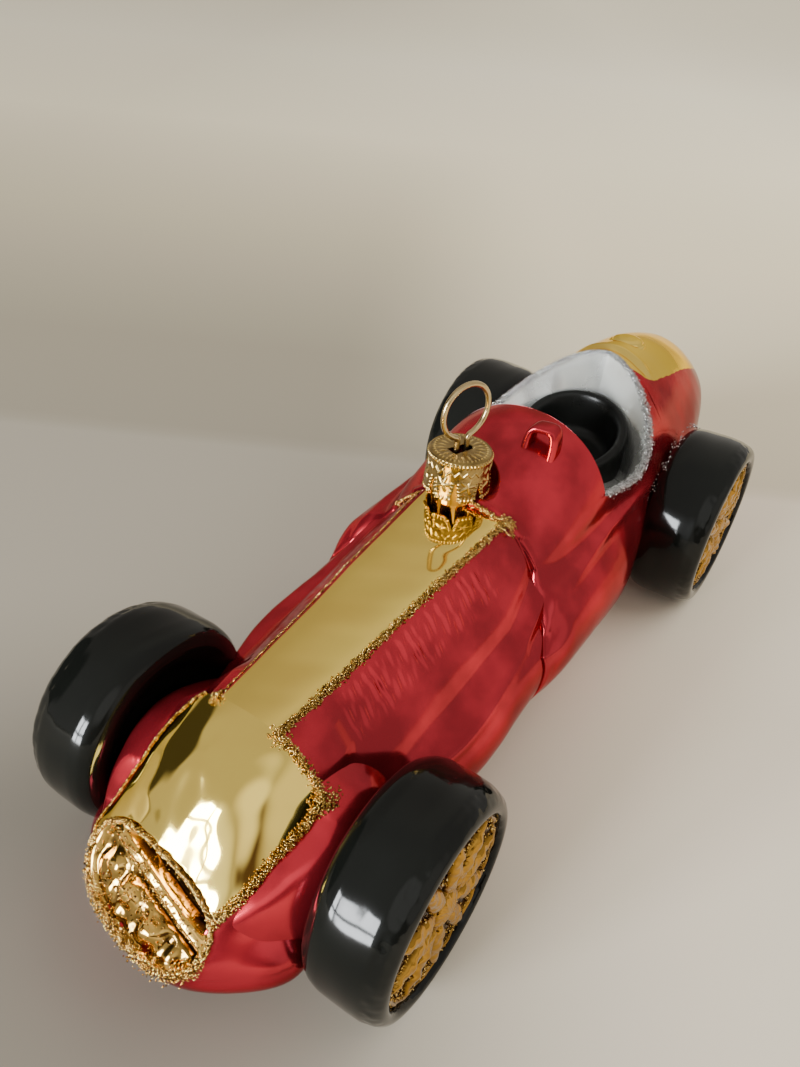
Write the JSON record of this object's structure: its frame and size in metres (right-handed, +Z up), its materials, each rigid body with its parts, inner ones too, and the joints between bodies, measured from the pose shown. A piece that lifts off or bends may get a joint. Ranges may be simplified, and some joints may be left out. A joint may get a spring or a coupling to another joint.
{
  "type": "glass racing car christmas ornament",
  "caption": "Blown-glass tree ornament shaped as a vintage open-wheel racing car, with a stamped cap that turns and a wire hanger that slides.",
  "frame": {"origin": "centre of the bounding box at the floor, between the four tyres", "axes": "+X to the nose, +Y to the car's left, +Z up"},
  "size_m": [0.18, 0.0612, 0.0567],
  "materials": {
    "ruby_lacquer": "transparent ruby lacquer over silvered glass",
    "gold_mirror": "gold lacquer over silvered glass",
    "silver_mirror": "silvered glass",
    "black_lacquer": "gloss black lacquer on glass",
    "gold_metal": "stamped gold-coloured tinplate and wire"
  },
  "bodies": {
    "glass_body": {"nose_cowl": "gold_mirror", "nose_pan": "ruby_lacquer", "grille": "gold_mirror", "bonnet": "ruby_lacquer", "bonnet_strip": "gold_mirror", "hull": "ruby_lacquer", "neck": "gold_mirror", "cockpit_tub": "silver_mirror", "seat": "black_lacquer", "tail_top": "gold_mirror", "filler_cap": "gold_mirror", "tyre_front_left": "black_lacquer", "disc_front_left": "gold_mirror", "stub_front_left": "ruby_lacquer", "tyre_front_right": "black_lacquer", "disc_front_right": "gold_mirror", "stub_front_right": "ruby_lacquer", "tyre_rear_left": "black_lacquer", "disc_rear_left": "gold_mirror", "stub_rear_left": "ruby_lacquer", "tyre_rear_right": "black_lacquer", "disc_rear_right": "gold_mirror", "stub_rear_right": "ruby_lacquer"},
    "cap": {"cap": "gold_metal"},
    "hanger": {"hanger": "gold_metal"}
  },
  "joints": [
    {"name": "cap_turn", "type": "hinge", "parent": "glass_body", "child": "cap", "pos_m": [0.0152, -0.003, 0.0457], "axis": [0, 0, 1], "continuous": true},
    {"name": "hanger_slide", "type": "slide", "parent": "cap", "child": "hanger", "axis": [0, 0, 1], "range_m": [-0.0009, 0.0022]}
  ]
}
